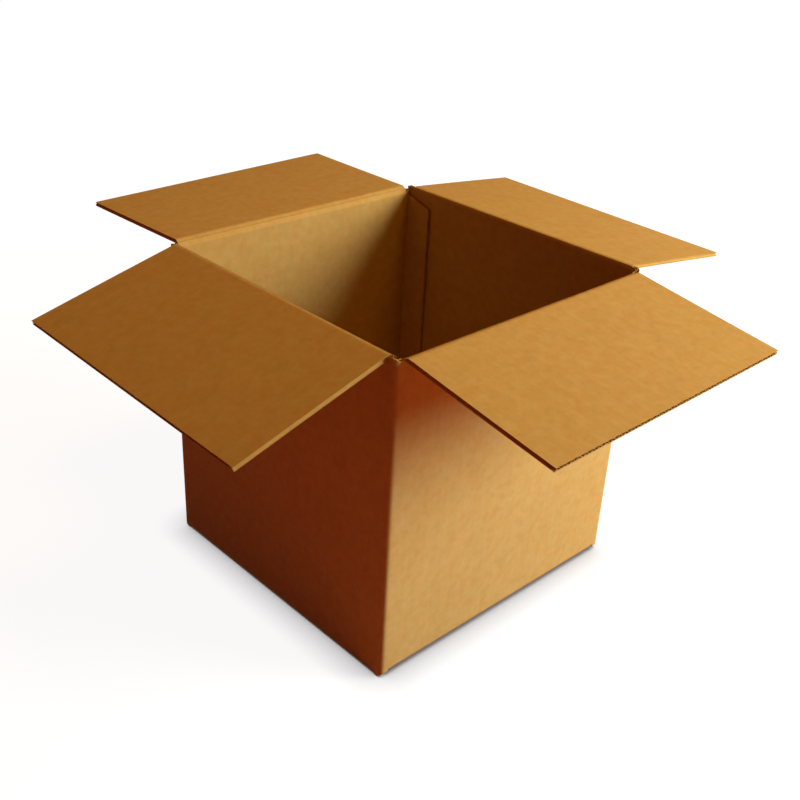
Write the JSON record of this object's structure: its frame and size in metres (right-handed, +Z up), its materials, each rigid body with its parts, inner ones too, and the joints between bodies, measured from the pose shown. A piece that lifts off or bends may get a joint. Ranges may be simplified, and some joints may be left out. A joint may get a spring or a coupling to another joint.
{
  "type": "open cardboard box",
  "caption": "Open slotted carton of single-wall corrugated board, with hinged top flaps folded out over the walls and the bottom flaps glued shut.",
  "frame": {"origin": "centre of the carton's base, on the surface that it stands on", "axes": "+X from the left wall to the right wall, +Y from the front wall to the back wall, +Z up out of the opening"},
  "size_m": [0.6088, 0.6172, 0.3201],
  "materials": {
    "kraft_board": "matt",
    "glue": "satin"
  },
  "bodies": {
    "box": {"box_body": "kraft_board", "lap_glue": "glue", "bottom_glue": "glue"},
    "front_flap": {"flap_front": "kraft_board"},
    "right_flap": {"flap_right": "kraft_board"},
    "back_flap": {"flap_back": "kraft_board"},
    "left_flap": {"flap_left": "kraft_board"}
  },
  "joints": [
    {"name": "front_fold", "type": "hinge", "parent": "box", "child": "front_flap", "pos_m": [0, -0.1555, 0.3163], "axis": [-1, 0, 0], "range_deg": [-35, 190]},
    {"name": "right_fold", "type": "hinge", "parent": "box", "child": "right_flap", "pos_m": [0.1537, 0, 0.319], "axis": [0, -1, 0], "range_deg": [-39.5, 185.5]},
    {"name": "back_fold", "type": "hinge", "parent": "box", "child": "back_flap", "pos_m": [0, 0.1555, 0.3163], "axis": [1, 0, 0], "range_deg": [-43.2, 181.8]},
    {"name": "left_fold", "type": "hinge", "parent": "box", "child": "left_flap", "pos_m": [-0.1537, 0, 0.319], "axis": [0, 1, 0], "range_deg": [-30.8, 194.2]}
  ]
}
